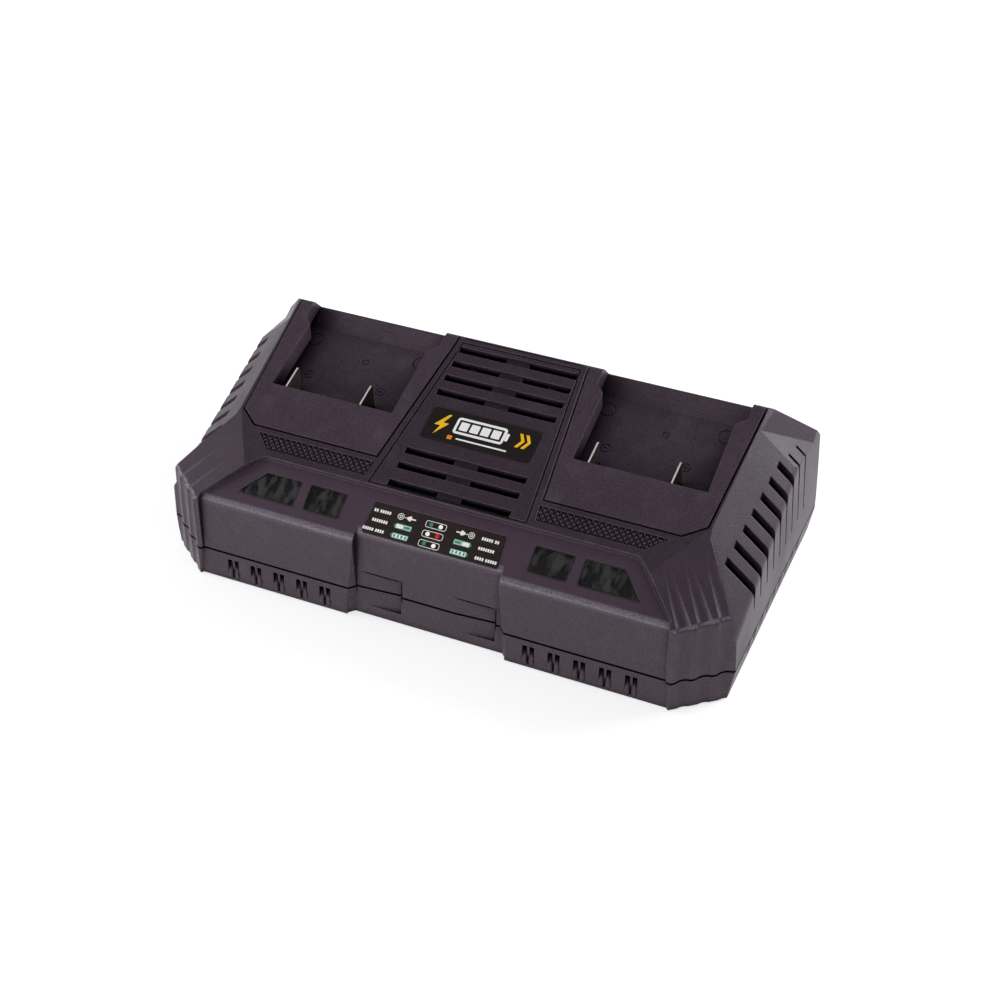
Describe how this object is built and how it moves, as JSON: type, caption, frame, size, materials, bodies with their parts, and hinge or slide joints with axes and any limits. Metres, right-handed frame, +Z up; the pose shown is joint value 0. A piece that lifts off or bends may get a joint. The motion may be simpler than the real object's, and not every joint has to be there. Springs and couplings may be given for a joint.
{
  "type": "power tool battery charger",
  "caption": "Two-bay battery charger: low moulded case with sloping fluted shell, open battery bays, vent grille, status panel and smoked lamp windows.",
  "frame": {"origin": "centre of the footprint, on the surface the rubber feet stand on", "axes": "+X to the right seen from the front, +Y to the rear, where the mains inlet is, +Z up"},
  "size_m": [0.2828, 0.1456, 0.0826],
  "materials": {
    "housing_plastic": "fine grain, satin",
    "bay_plastic": "fine grain, satin",
    "carrier_plastic": "smooth",
    "contact_metal": "plated strip",
    "name_plate": "satin printed film",
    "status_label": "satin printed film",
    "lens_green": "clear tinted",
    "lens_white": "clear",
    "lens_red": "clear tinted",
    "smoked_window": "polished smoked",
    "circuit_board": "solder mask",
    "black_plastic": "smooth",
    "capacitor_sleeve": "shrink sleeve",
    "fuse_glass": "glass tube in clips",
    "transformer_core": "ferrite and tape",
    "heat_sink_aluminium": "extruded",
    "screw_steel": "zinc plated",
    "rubber": "moulded",
    "lead_insulation": "PVC",
    "ribbon": "flat cable"
  },
  "bodies": {
    "housing": {"bay_insert_left": "bay_plastic", "bay_insert_right": "bay_plastic", "board_screws": "screw_steel", "bulk_capacitor": "capacitor_sleeve", "choke": "black_plastic", "contact_carrier_left": "carrier_plastic", "contact_carrier_right": "carrier_plastic", "fan_frame": "black_plastic", "fan_lead": "lead_insulation", "fan_screws": "screw_steel", "fuse": "fuse_glass", "heat_sink_left": "heat_sink_aluminium", "heat_sink_right": "heat_sink_aluminium", "housing_screws": "screw_steel", "indicator_board_left": "circuit_board", "indicator_board_right": "circuit_board", "inlet_pins": "contact_metal", "insert_screws": "screw_steel", "lower_shell": "housing_plastic", "main_board": "circuit_board", "mains_inlet": "black_plastic", "name_plate": "name_plate", "negative_blade_left": "contact_metal", "negative_blade_right": "contact_metal", "output_capacitors": "capacitor_sleeve", "output_leads_left": "lead_insulation", "output_leads_right": "lead_insulation", "panel_screws": "screw_steel", "positive_blade_left": "contact_metal", "positive_blade_right": "contact_metal", "rubber_feet": "rubber", "signal_ribbon": "ribbon", "status_board": "circuit_board", "status_label": "status_label", "status_lenses_green": "lens_green", "status_lenses_red": "lens_red", "status_lenses_white": "lens_white", "transformer_left": "transformer_core", "transformer_right": "transformer_core", "upper_shell": "housing_plastic", "window_inner_left": "smoked_window", "window_inner_right": "smoked_window", "window_outer_left": "smoked_window", "window_outer_right": "smoked_window"},
    "rotor": {"fan_rotor": "black_plastic"}
  },
  "joints": [
    {"name": "fan_spin", "type": "hinge", "parent": "housing", "child": "rotor", "pos_m": [0, 0.0146, 0.0525], "axis": [0, 0, 1], "continuous": true}
  ]
}
